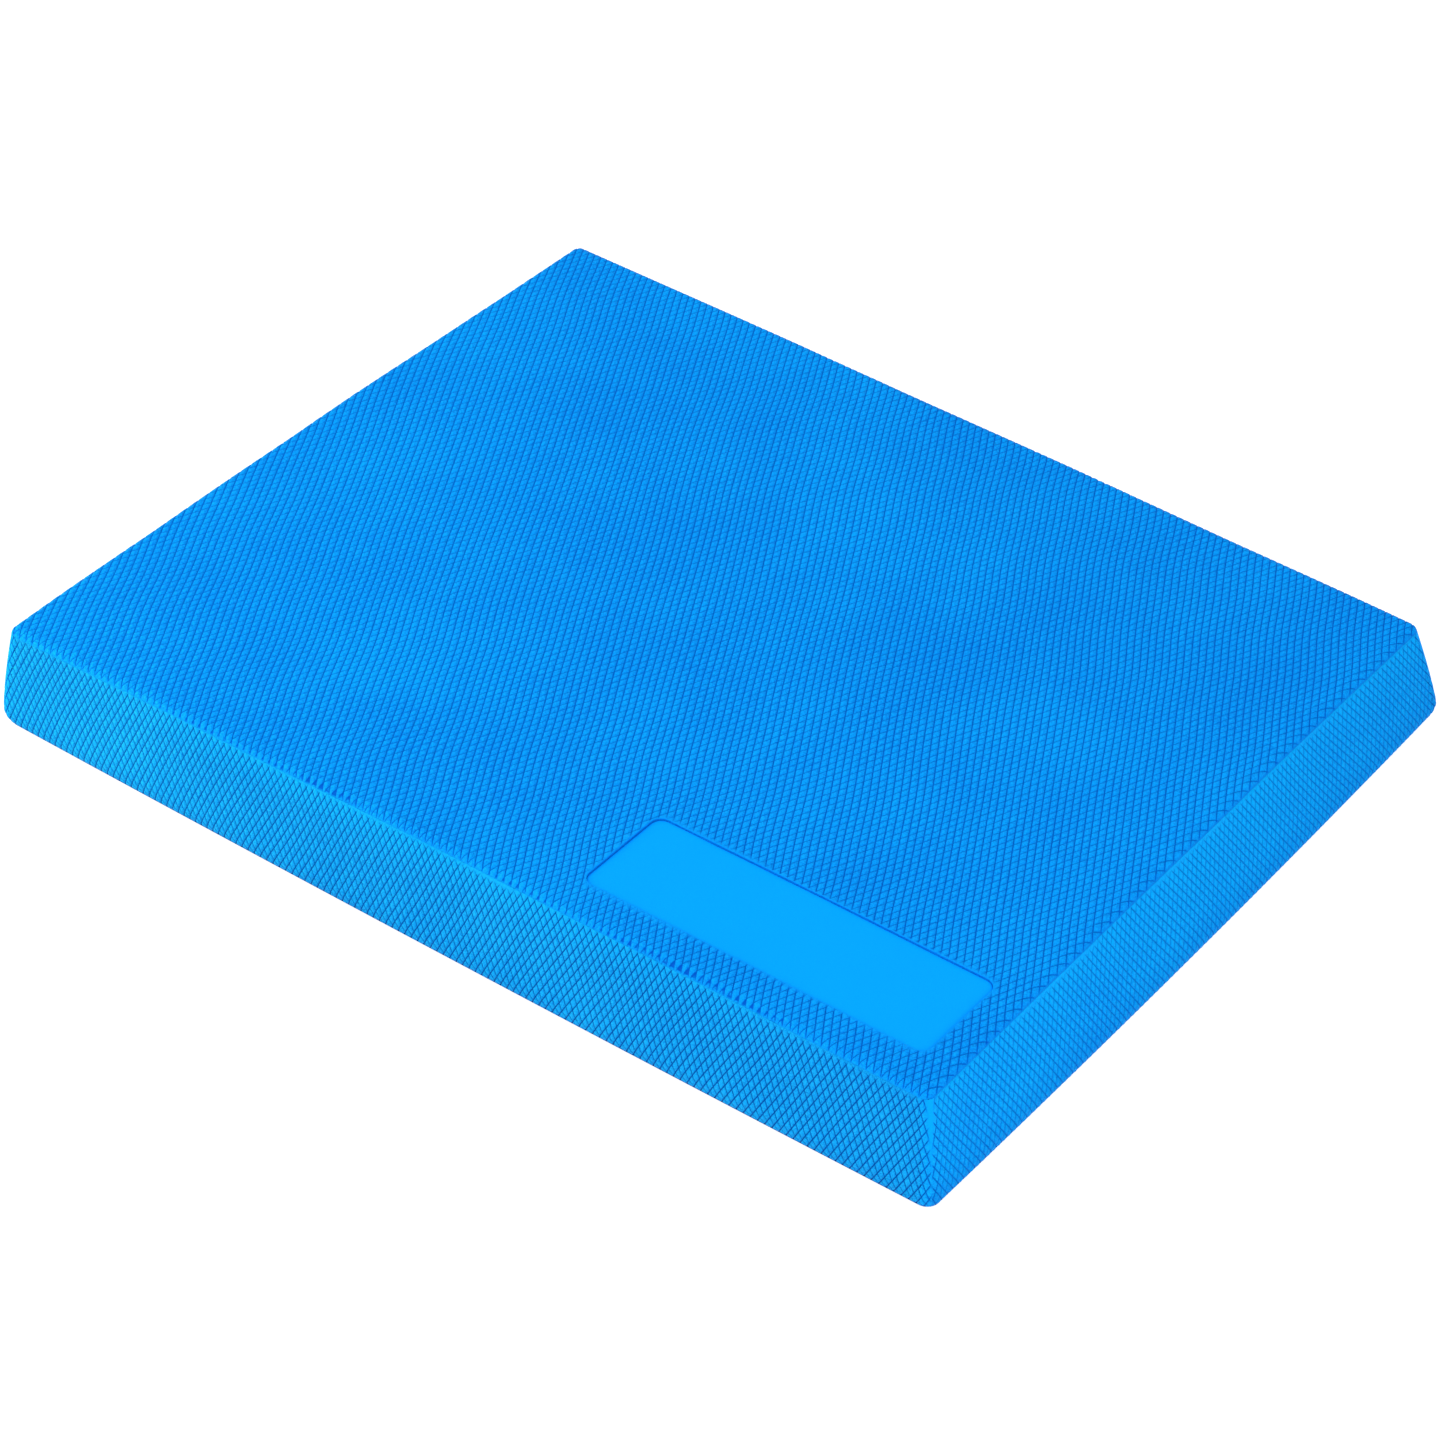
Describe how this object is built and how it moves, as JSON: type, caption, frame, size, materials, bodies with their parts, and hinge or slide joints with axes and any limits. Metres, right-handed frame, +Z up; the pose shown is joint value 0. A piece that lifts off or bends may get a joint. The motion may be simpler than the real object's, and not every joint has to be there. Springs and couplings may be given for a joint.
{
  "type": "balance pad",
  "caption": "Rectangular foam balance pad with sloping sides, fine diamond-embossed skins all round, rounded edges and a smooth blank label panel near one corner of the top.",
  "frame": {"origin": "middle of the underside, on the floor", "axes": "+X along the pad towards the end that carries the label panel; +Y across the pad, away from the long side next to the label panel; +Z up out of the top"},
  "size_m": [0.5, 0.396, 0.055],
  "materials": {
    "embossed_skin": "matte closed-cell foam skin, embossed with diamonds",
    "smooth_skin": "smooth satin foam skin",
    "core_foam": "cut closed-cell foam, matte"
  },
  "bodies": {
    "root": {"top_skin": "embossed_skin", "bottom_skin": "embossed_skin", "label_panel": "smooth_skin", "front_side_skin": "embossed_skin", "back_side_skin": "embossed_skin", "left_end_skin": "embossed_skin", "right_end_skin": "embossed_skin", "front_right_corner_seam": "smooth_skin", "back_right_corner_seam": "smooth_skin", "back_left_corner_seam": "smooth_skin", "front_left_corner_seam": "smooth_skin", "core_board_1": "core_foam", "core_board_2": "core_foam", "core_board_3": "core_foam", "core_board_4": "core_foam", "core_board_5": "core_foam"}
  },
  "joints": []
}
